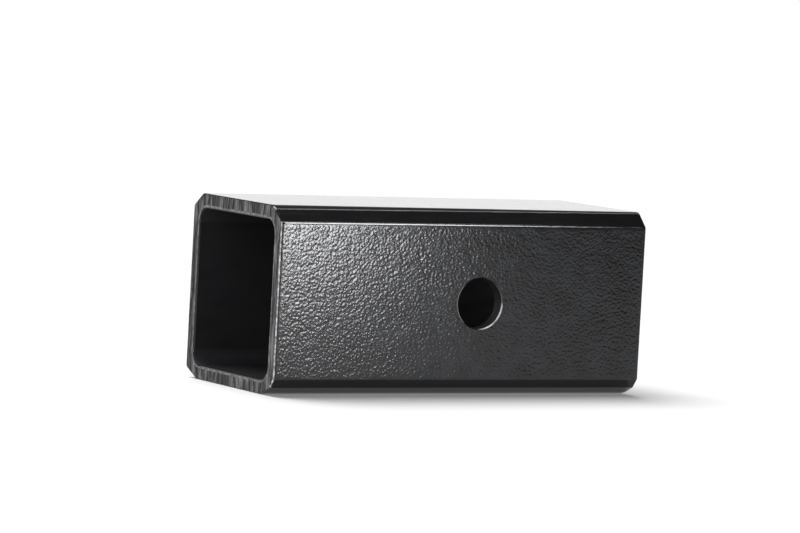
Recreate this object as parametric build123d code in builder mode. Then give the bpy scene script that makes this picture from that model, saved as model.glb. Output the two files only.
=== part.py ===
"""Hitch reducer sleeve: a length of square steel tube that fills a large receiver so that a smaller shank fits it.

The four long corners are ground to flats, and one hole for the hitch pin is drilled through both side walls.
The origin is where the pin's axis crosses the tube's axis. +X runs along the tube, +Y along the pin, +Z is up.
Millimetres.
"""

import os

from build123d import *

# Square tube, sawn to length
outer_size = 76.2
wall = 5.92
bore_corner_radius = 6.0
length = 171.5

# Flats ground along the corners by hand, so no two are alike.
# Across is measured along the top or bottom, down along the side.
front_top_across = 7.7
front_top_down = 6.4
front_bottom_across = 5.6
front_bottom_down = 6.6
back_top_across = 7.4
back_top_down = 5.2
back_bottom_across = 9.0
back_bottom_down = 4.2
flat_edge_radius = 1.6
# On the front the flats run out into what is left of the tube's rolled corners, top and bottom.
front_run_out_radius = 7.0

# Hole for the hitch pin
pin_hole_diameter = 20.6
pin_hole_from_end = 78.0

# Edges broken after sawing and drilling
end_outer_break = 0.9
end_bore_break = 0.6
pin_hole_break = 0.6

# Sizes that follow from those above
half_size = outer_size / 2
bore_size = outer_size - 2 * wall
far_end = pin_hole_from_end
near_end = far_end - length

with BuildPart() as sleeve:
    # Tube with its ground corners
    with BuildSketch(Plane.YZ.offset(near_end)):
        with BuildLine():
            FilletPolyline(
                (-half_size, half_size - front_top_down),
                (-half_size + front_top_across, half_size),
                (half_size - back_top_across, half_size),
                (half_size, half_size - back_top_down),
                (half_size, -half_size + back_bottom_down),
                (half_size - back_bottom_across, -half_size),
                (-half_size + front_bottom_across, -half_size),
                (-half_size, -half_size + front_bottom_down),
                radius=[
                    flat_edge_radius,
                    front_run_out_radius,
                    flat_edge_radius,
                    flat_edge_radius,
                    flat_edge_radius,
                    flat_edge_radius,
                    front_run_out_radius,
                    flat_edge_radius,
                ],
                close=True,
            )
        make_face()
        RectangleRounded(bore_size, bore_size, bore_corner_radius, mode=Mode.SUBTRACT)
    extrude(amount=length)

    # Pin hole, drilled from the front face through both side walls
    with Locations(Plane.XZ.offset(half_size)):
        Hole(radius=pin_hole_diameter / 2)
    side_faces = sleeve.faces().sort_by(Axis.Y)
    rims = [rim for face in (side_faces[0], side_faces[-1]) for rim in face.inner_wires()]
    chamfer([edge for rim in rims for edge in rim.edges()], length=pin_hole_break)

    # Sawn ends, with the burr taken off outside and in the bore
    for end in (0, -1):
        chamfer(sleeve.faces().sort_by(Axis.X)[end].outer_wire().edges(), length=end_outer_break)
    for end in (0, -1):
        bore_edges = [rim.edges() for rim in sleeve.faces().sort_by(Axis.X)[end].inner_wires()]
        chamfer([edge for edges in bore_edges for edge in edges], length=end_bore_break)

sleeve.part.label = "sleeve"

os.makedirs("parts", exist_ok=True)
export_step(sleeve.part, "parts/sleeve.step")
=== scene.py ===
import math

import bmesh
import bpy
from mathutils import Matrix, Vector, noise


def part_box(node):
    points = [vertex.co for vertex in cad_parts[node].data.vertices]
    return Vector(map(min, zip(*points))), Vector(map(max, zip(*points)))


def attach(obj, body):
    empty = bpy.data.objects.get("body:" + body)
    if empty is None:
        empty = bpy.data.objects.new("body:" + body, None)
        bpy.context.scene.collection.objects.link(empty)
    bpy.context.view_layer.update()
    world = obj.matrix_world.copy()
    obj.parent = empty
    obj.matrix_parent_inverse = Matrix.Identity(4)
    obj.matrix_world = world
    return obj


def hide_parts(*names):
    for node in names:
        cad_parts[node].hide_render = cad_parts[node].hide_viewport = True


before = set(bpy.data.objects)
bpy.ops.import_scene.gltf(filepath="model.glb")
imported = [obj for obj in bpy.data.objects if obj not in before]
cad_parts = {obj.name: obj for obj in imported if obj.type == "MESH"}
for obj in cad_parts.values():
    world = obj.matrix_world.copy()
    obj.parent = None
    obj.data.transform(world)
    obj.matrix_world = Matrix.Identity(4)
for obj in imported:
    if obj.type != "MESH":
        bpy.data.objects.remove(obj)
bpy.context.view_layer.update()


# Sleeve: the sawn tube
# A length of square steel tube, ground flat by hand along its four long corners, of which the front top one
# narrows towards the far end. The bore has rolled corners and a rubbed grey lip, its grey partly a painted
# highlight. Both ends are sawn and deburred.
low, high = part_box("sleeve")
near_end, far_end = low.x, high.x
tube_length = far_end - near_end
half_size = high.z
tube_wall = 0.00592
bore_half = half_size - tube_wall
mid_wall = bore_half + tube_wall / 2
bore_corner_radius = 0.006
bore_corner_segments = 8
crisp_radius = 0.0016
run_out_radius = 0.0070
ground_flats = [
    {"side": -1, "level": 1, "across": 0.0077, "down": 0.0064, "level_radius": run_out_radius,
     "far": {"across": 0.0060, "down": 0.0059, "level_radius": 0.0030}},
    {"side": 1, "level": 1, "across": 0.0074, "down": 0.0052, "level_radius": crisp_radius},
    {"side": 1, "level": -1, "across": 0.0090, "down": 0.0042, "level_radius": crisp_radius},
    {"side": -1, "level": -1, "across": 0.0056, "down": 0.0071, "level_radius": run_out_radius,
     "side_radius": 0.0005},
]
flat_edge_segments = 6
rolled_rest = 0.0044
rolled_rest_radius = 0.0120
end_outer_break = 0.0007
end_outer_segments = 3
end_bore_break = 0.0006
end_bore_segments = 2
end_lip = 0.0007


def round_corner(mesh, corner, radius, segments):
    """Rounds one corner of a flat outline."""
    arms = [(edge.other_vert(corner).co - corner.co).normalized() for edge in corner.link_edges]
    turn = math.pi - arms[0].angle(arms[1])
    bmesh.ops.bevel(mesh, geom=[corner], offset=radius * math.tan(turn / 2), offset_type="OFFSET",
                    segments=segments, profile=0.5, affect="VERTICES", material=-1)


def rolled_square(mesh, half, radius):
    """Draws a square outline with rolled corners, and gives back its edges."""
    others = set(mesh.edges)
    square = [mesh.verts.new((near_end, y * half, z * half))
              for y, z in ((-1, 1), (1, 1), (1, -1), (-1, -1))]
    mesh.faces.new(square)
    for corner in square:
        round_corner(mesh, corner, radius, bore_corner_segments)
    return [edge for edge in mesh.edges if edge not in others]


def ground_outline(mesh, flats):
    """Draws the tube's outline with its ground corners, and a rest of the rolled one at the front's foot."""
    corners = []
    for flat in flats:
        side, level = flat["side"], flat["level"]
        on_side = Vector((near_end, side * half_size, level * (half_size - flat["down"])))
        on_level = Vector((near_end, side * (half_size - flat["across"]), level * half_size))
        pair = [(mesh.verts.new(on_side), flat.get("side_radius", crisp_radius)),
                (mesh.verts.new(on_level), flat["level_radius"])]
        corners += pair if side * level < 0 else pair[::-1]
    mesh.faces.new([corner for corner, radius in corners])
    for corner, radius in corners:
        if corner.co.z < 0 and radius == run_out_radius:
            rest = bmesh.ops.bevel(mesh, geom=[corner], offset=rolled_rest, offset_type="OFFSET",
                                   segments=1, profile=0.5, affect="VERTICES", material=-1)["verts"]
            corner = min(rest, key=lambda vert: vert.co.z)
            radius = rolled_rest_radius
        round_corner(mesh, corner, radius, flat_edge_segments)


def spot(vert):
    """A point's place in the tube's section, to look it up by."""
    return round(vert.co.y, 6), round(vert.co.z, 6)


tube = bmesh.new()
# Marks the bore's lip, whose grey finish is partly rubbed paint and partly a painted highlight.
worn_and_highlit = tube.faces.layers.int.new("worn_and_highlit")
ground_outline(tube, ground_flats)
outline = tube.edges[:]
far_outline = bmesh.new()
ground_outline(far_outline, [dict(flat, **flat.get("far", {})) for flat in ground_flats])
drifts = {spot(near): far.co - near.co for near, far in zip(tube.verts, far_outline.verts)}
far_outline.free()
rim_width = end_bore_break + end_lip
lip_outline = rolled_square(tube, bore_half + rim_width, bore_corner_radius + rim_width)
bore_outline = rolled_square(tube, bore_half, bore_corner_radius)
bmesh.ops.delete(tube, geom=tube.faces[:], context="FACES_ONLY")
lips = bmesh.ops.bridge_loops(tube, edges=lip_outline + bore_outline)["faces"]
bmesh.ops.triangle_fill(tube, edges=outline + lip_outline, use_beauty=True)
for face in lips:
    face[worn_and_highlit] = 1
drawn = bmesh.ops.extrude_face_region(tube, geom=tube.faces[:])["geom"]
for item in drawn:
    if isinstance(item, bmesh.types.BMVert):
        item.co += drifts.get(spot(item), Vector()) + Vector((tube_length, 0, 0))
bmesh.ops.recalc_face_normals(tube, faces=tube.faces[:])


def reach(vert):
    """How far a point of the tube lies from its axis, measured square."""
    return max(abs(vert.co.y), abs(vert.co.z))


def end_edges(mesh, outside):
    """The edges between the sawn ends and the walls, round the outside or round the bore."""
    return [edge for edge in mesh.edges
            if {abs(face.normal.x) > 0.5 for face in edge.link_faces} == {True, False}
            and (reach(edge.verts[0]) > mid_wall) == outside]


for outside, width, segments in ((True, end_outer_break, end_outer_segments),
                                 (False, end_bore_break, end_bore_segments)):
    bmesh.ops.bevel(tube, geom=end_edges(tube, outside), offset=width, offset_type="OFFSET",
                    segments=segments, profile=0.5, affect="EDGES", material=-1, loop_slide=False)


# Sleeve: the skin's grid
# The paint dries in a fine hammered relief on the wide faces, so the outside is cut into small squares that
# can carry it.
skin_pitch = 0.0012
wide_face = 1.65 * half_size


def on_outside(edge):
    """Whether an edge lies on the tube's outside."""
    return min(reach(vert) for vert in edge.verts) > mid_wall


def spread(edge):
    """An edge's reach along the tube and across it."""
    step = edge.verts[1].co - edge.verts[0].co
    return abs(step.x), math.hypot(step.y, step.z)


lengthwise = [edge for edge in tube.edges if on_outside(edge) and spread(edge)[0] > tube_length / 2]
bmesh.ops.subdivide_edges(tube, edges=lengthwise, use_grid_fill=True,
                          cuts=round(tube_length / skin_pitch) - 1)
crosswise = [edge for edge in tube.edges if on_outside(edge) and spread(edge)[0] < 1e-6]
wide = [edge for edge in crosswise if spread(edge)[1] > half_size]
bmesh.ops.subdivide_edges(tube, edges=wide, use_grid_fill=True, cuts=round(wide_face / skin_pitch) - 1)
tube.normal_update()


# Sleeve: the pin hole
# Drilled through both side walls for the hitch pin, with the drill's burr rolled off the outer rims. A window
# in the skin's grid makes way for rings of faces round it.
pin_hole_radius = 0.0103
pin_hole_break = 0.00045
pin_hole_window = 0.0132
window_rings = 4
square_on = 0.999
close_by = 1e-5


def pulled(mesh, edges):
    """Extrudes a loop of edges, and gives back the new points, the new loop and the edges leading to it."""
    made = bmesh.ops.extrude_edge_only(mesh, edges=edges)["geom"]
    points = {item for item in made if isinstance(item, bmesh.types.BMVert)}
    leads = [edge for edge in mesh.edges if len(points.intersection(edge.verts)) == 1]
    loop = [item for item in made if isinstance(item, bmesh.types.BMEdge) and points.issuperset(item.verts)]
    return points, loop, leads


rims = []
for side in (-1, 1):
    window = {face for face in tube.faces
              if face.normal.y * side > square_on and reach(face.verts[0]) > half_size - close_by
              and all(max(abs(vert.co.x), abs(vert.co.z)) < pin_hole_window for vert in face.verts)}
    window_frame = [edge for edge in tube.edges if len(window.intersection(edge.link_faces)) == 1]
    bmesh.ops.delete(tube, geom=list(window), context="FACES")
    points, rim, spokes = pulled(tube, window_frame)
    for point in points:
        outward = Vector((point.co.x, 0, point.co.z)).normalized() * pin_hole_radius
        point.co = outward + Vector((0, point.co.y, 0))
    bmesh.ops.subdivide_edges(tube, edges=spokes, cuts=window_rings - 1, use_grid_fill=True)
    points, inner_rim = pulled(tube, rim)[:2]
    bmesh.ops.translate(tube, verts=list(points), vec=(0, -side * tube_wall, 0))
    bore_wall = max((face for face in tube.faces
                     if face.normal.y * side < -square_on and face.calc_center_median().y * side > 0),
                    key=lambda face: face.calc_area())
    bore_frame = list(bore_wall.edges)
    bmesh.ops.delete(tube, geom=[bore_wall], context="FACES_ONLY")
    bmesh.ops.triangle_fill(tube, edges=bore_frame + inner_rim, use_beauty=True)
    rims += rim
bmesh.ops.recalc_face_normals(tube, faces=tube.faces[:])
bmesh.ops.bevel(tube, geom=rims, offset=pin_hole_break, offset_type="OFFSET",
                segments=1, profile=0.5, affect="EDGES", material=-1, loop_slide=False)


# Sleeve: the paint's unevenness
# Thick paint settles in slow waves before it dries. They fade towards edges and rims, where it runs thin,
# and so does the fine orange peel, whose share at each point goes to the finish below.
paint_wave = 0.009
paint_swell = 0.000015
paint_fade = 0.0010
rim_fade = paint_fade / 2
bare_by_flats = 0.0068
bare_by_ends = 0.001
level_share = 0.25

tube.normal_update()
peel = tube.verts.layers.float.new("peel")
for vert in tube.verts:
    inner, outer = sorted((abs(vert.co.y), abs(vert.co.z)))
    if outer < half_size - 1e-6:
        continue
    on_side = abs(vert.co.y) > abs(vert.co.z)
    from_end = min(vert.co.x - near_end, far_end - vert.co.x)
    cover = [(half_size - bare_by_flats - inner) / paint_fade, (from_end - bare_by_ends) / paint_fade]
    if on_side:
        from_rim = math.hypot(vert.co.x, vert.co.z) - pin_hole_radius - pin_hole_break
        cover.append(from_rim / rim_fade)
    share = min(max(min(cover), 0), 1)
    vert[peel] = share if on_side else share * level_share
    vert.co += vert.normal * noise.noise(vert.co / paint_wave) * vert[peel] * paint_swell


# Sleeve: its finishes
# One coat of black gloss: hammered on the sides, smoother on the levels and flats, beaded on narrow edges,
# streaked on the sawn ends, dull in the bore and the drilled hole, grey on the lip and side edges, where the
# grey is partly rubbed paint and partly a painted highlight.
finishes = ["side", "level", "ground", "sawn", "bore", "lip", "edge", "bead", "drilled"]
end_on = 0.95
slanted_from, slanted_to = 0.6, 0.99
skin_depth = 0.0003
bead_area = 0.6e-6
rounded_area = 2e-6


def give(face, finish, smooth):
    """Gives a face its finish and its shading."""
    face.material_index = finishes.index(finish)
    face.smooth = smooth


for face in tube.faces:
    centre = face.calc_center_median()
    outward = max(abs(centre.y), abs(centre.z))
    from_pin = math.hypot(centre.x, centre.z)
    in_side_wall = abs(centre.y) > bore_half
    lengthways, sideways, upwards = (abs(part) for part in face.normal)
    at_an_end = min(centre.x - near_end, far_end - centre.x) < end_outer_break
    on_side_edge = at_an_end and sideways > upwards and outward > mid_wall
    uneven = len(face.verts) != 4
    # The lip and the side edges at the ends get a grey that is partly rubbed paint and partly a painted
    # highlight.
    if lengthways > end_on and face[worn_and_highlit]:
        give(face, "lip", False)
    elif on_side_edge and slanted_from < lengthways < slanted_to:
        give(face, "edge", False)
    elif in_side_wall and from_pin < pin_hole_radius + close_by:
        give(face, "drilled", True)
    elif in_side_wall and from_pin < pin_hole_radius + pin_hole_break:
        give(face, "bead" if centre.x > centre.z else "ground", False)
        for edge in face.edges:
            edge.smooth = False
    elif lengthways > end_on:
        give(face, "sawn", False)
    elif outward < bore_half + close_by:
        give(face, "bore", max(sideways, upwards) < square_on)
    elif outward > half_size - skin_depth and max(sideways, upwards) > 0.99:
        give(face, "side" if sideways > upwards else "level", True)
    else:
        narrow = uneven or face.calc_area() < bead_area
        rounded = uneven or face.calc_area() < rounded_area
        give(face, "bead" if narrow and not at_an_end else "ground", rounded)


def painted(name, roughness):
    """A black gloss paint, with its shader and its object coordinates."""
    material = bpy.data.materials.new(name)
    material.use_nodes = True
    shader = material.node_tree.nodes["Principled BSDF"]
    shader.inputs["Base Color"].default_value = (0.003, 0.003, 0.0034, 1)
    shader.inputs["Roughness"].default_value = roughness
    # Painted light: the reflections are tinted a little blue, standing in for the cool colour of the lamps.
    shader.inputs["Specular Tint"].default_value = (0.97, 0.975, 1, 1)
    coords = material.node_tree.nodes.new("ShaderNodeTexCoord")
    return material, shader, coords.outputs["Object"]


def noise_node(material, coords, scale, detail, stretch=(1, 1, 1)):
    """A noise whose grains may be stretched along the object's axes."""
    mapping = material.node_tree.nodes.new("ShaderNodeMapping")
    mapping.vector_type = "TEXTURE"
    mapping.inputs["Scale"].default_value = stretch
    grain = material.node_tree.nodes.new("ShaderNodeTexNoise")
    grain.inputs["Scale"].default_value = scale
    grain.inputs["Detail"].default_value = detail
    material.node_tree.links.new(coords, mapping.inputs["Vector"])
    material.node_tree.links.new(mapping.outputs["Vector"], grain.inputs["Vector"])
    return grain.outputs["Fac"]


def bump_node(material, height, shader, distance):
    """Feeds a height to the shader's normal."""
    bump = material.node_tree.nodes.new("ShaderNodeBump")
    bump.inputs["Distance"].default_value = distance
    material.node_tree.links.new(height, bump.inputs["Height"])
    material.node_tree.links.new(bump.outputs["Normal"], shader.inputs["Normal"])
    return bump


def ranged(owner, value, over, to, socket):
    """Maps a value from one range to another and feeds it to a socket."""
    mapped = owner.node_tree.nodes.new("ShaderNodeMapRange")
    for name, limit in zip(("From Min", "From Max", "To Min", "To Max"), over + to):
        mapped.inputs[name].default_value = limit
    owner.node_tree.links.new(value, mapped.inputs["Value"])
    owner.node_tree.links.new(mapped.outputs["Result"], socket)
    return mapped


side_paint, shader, coords = painted("side_black", 0.21)
drops = side_paint.node_tree.nodes.new("ShaderNodeTexVoronoi")
drops.feature = "SMOOTH_F1"
drops.inputs["Scale"].default_value = 1000
drops.inputs["Smoothness"].default_value = 1
side_paint.node_tree.links.new(coords, drops.inputs["Vector"])
bump = bump_node(side_paint, drops.outputs["Distance"], shader, distance=0.000104)
bump.invert = True
share = side_paint.node_tree.nodes.new("ShaderNodeAttribute")
share.attribute_name = "peel"
ranged(side_paint, share.outputs["Fac"], over=(0, 1), to=(0.1, 1), socket=bump.inputs["Strength"])
clouds = noise_node(side_paint, coords, scale=110, detail=3)
tone = side_paint.node_tree.nodes.new("ShaderNodeMix")
tone.data_type = "RGBA"
tone.inputs["A"].default_value = (0.0015, 0.0015, 0.0016, 1)
tone.inputs["B"].default_value = (0.0075, 0.0080, 0.0097, 1)
ranged(side_paint, clouds, over=(0.38, 0.66), to=(0, 1), socket=tone.inputs["Factor"])
side_paint.node_tree.links.new(tone.outputs["Result"], shader.inputs["Base Color"])

level_paint, shader, coords = painted("level_black", 0.12)
grain = noise_node(level_paint, coords, scale=600, detail=0.6)
bump_node(level_paint, grain, shader, distance=0.00006)

ground, shader, coords = painted("ground_black", 0.12)
drag = noise_node(ground, coords, scale=300, detail=2, stretch=(6, 1, 1))
bump_node(ground, drag, shader, distance=0.00004)
ranged(ground, drag, over=(0.3, 0.7), to=(0.09, 0.17), socket=shader.inputs["Roughness"])

sawn, shader, coords = painted("sawn_black", 0.35)
shader.inputs["Specular IOR Level"].default_value = 0.3
teeth = noise_node(sawn, coords, scale=390, detail=2, stretch=(1, 1, 6))
bump_node(sawn, teeth, shader, distance=0.0042)
ranged(sawn, teeth, over=(0.35, 0.65), to=(0.45, 0.25), socket=shader.inputs["Roughness"])
ranged(sawn, teeth, over=(0.48, 0.66), to=(0.002, 0.11), socket=shader.inputs["Base Color"])

bore_paint, shader, coords = painted("bore_black", 0.6)
shader.inputs["Base Color"].default_value = (0.0092, 0.0092, 0.0105, 1)
shader.inputs["Specular IOR Level"].default_value = 0.2
scale_marks = noise_node(bore_paint, coords, scale=220, detail=3, stretch=(3, 1, 1))
bump_node(bore_paint, scale_marks, shader, distance=0.0001)
ranged(bore_paint, scale_marks, over=(0.3, 0.7), to=(0.5, 0.7), socket=shader.inputs["Roughness"])


def scuffed_and_highlit(name, dark, light):
    """Paint rubbed thin on an edge, so that grey shows through in places; the grey is also a painted
    highlight.
    """
    material, shader, coords = painted(name, 0.3)
    scuffs_and_highlights = noise_node(material, coords, scale=500, detail=3)
    bump_node(material, scuffs_and_highlights, shader, distance=0.0003)
    ranged(material, scuffs_and_highlights, over=(0.4, 0.65), to=(dark, light), socket=shader.inputs["Base Color"])
    return material


# Grey on the lip and on the side edges at the ends: rubbed paint plus a painted highlight, lightest on the
# side edges.
lip_rubbed_and_highlit = scuffed_and_highlit("lip_rubbed_highlight_black", dark=0.015, light=0.15)
edge_rubbed_and_highlit = scuffed_and_highlit("edge_rubbed_highlight_black", dark=0.12, light=0.5)

drilled, shader, coords = painted("drilled_black", 0.5)
shader.inputs["Specular IOR Level"].default_value = 0.3
turns = noise_node(drilled, coords, scale=300, detail=2, stretch=(3, 0.5, 3))
bump_node(drilled, turns, shader, distance=0.0001)
ranged(drilled, turns, over=(0.3, 0.7), to=(0.004, 0.018), socket=shader.inputs["Base Color"])

bead, shader, coords = painted("bead_black", 0.15)
shader.inputs["Specular IOR Level"].default_value = 1
beading = noise_node(bead, coords, scale=400, detail=2, stretch=(2, 1, 1))
bump_node(bead, beading, shader, distance=0.00005)
ranged(bead, beading, over=(0.3, 0.7), to=(0.1, 0.2), socket=shader.inputs["Roughness"])

sleeve_mesh = bpy.data.meshes.new("sleeve_body")
tube.to_mesh(sleeve_mesh)
tube.free()
sleeve = bpy.data.objects.new("sleeve_body", sleeve_mesh)
bpy.context.scene.collection.objects.link(sleeve)
for material in (side_paint, level_paint, ground, sawn, bore_paint, lip_rubbed_and_highlit, edge_rubbed_and_highlit, bead, drilled):
    sleeve_mesh.materials.append(material)

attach(sleeve, "root")
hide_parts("sleeve")


# Floor
# A large sheet of white paper that the sleeve lies on, with a little light of its own. Well in front of the
# sleeve, outside the camera's view, it turns grey, so that the front face doesn't mirror white paper.
floor_reach = 60
paper_turns = (-0.75, -0.50)
paper_colour = (0.25, 0.78)
paper_glow = (0.05, 0.2)
floor_mesh = bpy.data.meshes.new("floor")
floor_build = bmesh.new()
bmesh.ops.create_grid(floor_build, x_segments=1, y_segments=1, size=floor_reach,
                      matrix=Matrix.Translation((0, 0, low.z)))
floor_build.to_mesh(floor_mesh)
floor_build.free()
floor = bpy.data.objects.new("floor", floor_mesh)
bpy.context.scene.collection.objects.link(floor)
floor_paper = bpy.data.materials.new("floor_paper")
floor_paper.use_nodes = True
floor_shader = floor_paper.node_tree.nodes["Principled BSDF"]
floor_shader.inputs["Roughness"].default_value = 1
floor_shader.inputs["Specular IOR Level"].default_value = 0
floor_shader.inputs["Emission Color"].default_value = (1, 1, 1, 1)
floor_coords = floor_paper.node_tree.nodes.new("ShaderNodeTexCoord")
floor_parts = floor_paper.node_tree.nodes.new("ShaderNodeSeparateXYZ")
floor_paper.node_tree.links.new(floor_coords.outputs["Object"], floor_parts.inputs["Vector"])
for limits, socket in ((paper_colour, "Base Color"), (paper_glow, "Emission Strength")):
    ranged(floor_paper, floor_parts.outputs["Y"], over=paper_turns, to=limits,
           socket=floor_shader.inputs[socket])
floor_mesh.materials.append(floor_paper)


# Light
# A bright wall low behind the sleeve, a dim room in front, a dark ceiling, and a broad sun from above and a
# little behind. The softboxes and strips are linked to the sleeve alone, for the reflections in its paint.
back_light = 1.25
front_light = 0.08
ceiling_light = 0.12
world = bpy.data.worlds.new("studio")
bpy.context.scene.world = world
world.use_nodes = True
nodes, links = world.node_tree.nodes, world.node_tree.links
direction = nodes.new("ShaderNodeTexCoord")
parts = nodes.new("ShaderNodeSeparateXYZ")
links.new(direction.outputs["Generated"], parts.inputs["Vector"])
room = nodes.new("ShaderNodeMath")
room.operation = "MULTIPLY"
depth = ranged(world, parts.outputs["Y"], over=(-0.3, 0.4), to=(front_light, back_light),
               socket=room.inputs[0])
height = ranged(world, parts.outputs["Z"], over=(0.30, 0.44), to=(1.0, ceiling_light),
                socket=room.inputs[1])
for blend in (depth, height):
    blend.interpolation_type = "SMOOTHSTEP"
links.new(room.outputs["Value"], nodes["Background"].inputs["Strength"])
nodes["Background"].inputs["Color"].default_value = (1, 1, 1, 1)

sleeve_only = bpy.data.collections.new("sleeve_only")
sleeve_only.objects.link(sleeve)


def aimed(name, lamp, place, aim):
    """Puts a lamp at a place, turned to what it lights."""
    holder = bpy.data.objects.new(name, lamp)
    bpy.context.scene.collection.objects.link(holder)
    holder.location = place
    holder.rotation_euler = (Vector(aim) - Vector(place)).to_track_quat("-Z", "Y").to_euler()
    holder.visible_camera = False
    return holder


def softbox(name, place, aim, size, radiance, beam):
    """A flat rectangular lamp of an even brightness, gridded to a beam, that lights only the sleeve."""
    lamp = bpy.data.lights.new(name, "AREA")
    lamp.shape = "RECTANGLE"
    lamp.size, lamp.size_y = size
    half_beam = math.radians(beam) / 2
    lamp.spread = 2 * half_beam
    lamp.energy = radiance * math.pi * size[0] * size[1] * (1 - half_beam / math.tan(half_beam))
    aimed(name, lamp, place, aim).light_linking.receiver_collection = sleeve_only


key = bpy.data.lights.new("key", "SUN")
key.angle = math.radians(40)
key.energy = 3.2
aimed("key", key, place=(-0.3, 0.6, 1.88), aim=(0, 0, 0))
softbox("front_softbox", place=(0.112, -0.45, 0.022), aim=(-0.1, -0.038, 0.04),
        size=(0.08, 0.06), radiance=49, beam=48)
softbox("edge_softbox", place=(0.26, -0.465, 0.42), aim=(-0.05, -0.038, 0.03),
        size=(0.16, 0.3), radiance=15, beam=60)
softbox("left_softbox", place=(-0.6, -0.37, 0.1), aim=(0, -0.038, 0),
        size=(0.3, 0.5), radiance=7, beam=60)
softbox("rim_softbox", place=(-0.5, -0.42, 0.5), aim=(0, -0.038, 0),
        size=(0.3, 0.6), radiance=8, beam=60)
softbox("rim_strip", place=(0.09, -0.1, 0.27), aim=(0.09, -0.045, 0),
        size=(0.17, 0.05), radiance=8, beam=70)
softbox("hole_strip", place=(-0.04, -0.135, 0.27), aim=(0, -0.038, 0),
        size=(0.12, 0.10), radiance=8, beam=70)
softbox("back_strip", place=(0.5, 0.22, 0.83), aim=(0.5, 0, 0),
        size=(0.6, 0.07), radiance=3.7, beam=150)


# Camera
# A long lens from the front left, a little above the sleeve. It is tipped a few degrees to one side, because
# the sleeve leans in the picture.
camera_place = Vector((-1.0378, -1.7782, 0.1635))
camera_aim = Vector((-0.01396, 0.00452, 0.01115))
camera_roll = math.radians(3.129)
lens = bpy.data.cameras.new("camera")
lens.sensor_width = 36
lens.lens = 225
lens.clip_end = 20
camera = bpy.data.objects.new("camera", lens)
bpy.context.scene.collection.objects.link(camera)
facing = (camera_aim - camera_place).to_track_quat("-Z", "Y").to_matrix().to_4x4()
camera.matrix_world = Matrix.Translation(camera_place) @ facing @ Matrix.Rotation(camera_roll, 4, "Z")
bpy.context.scene.camera = camera

bpy.context.scene.view_settings.view_transform = "Standard"
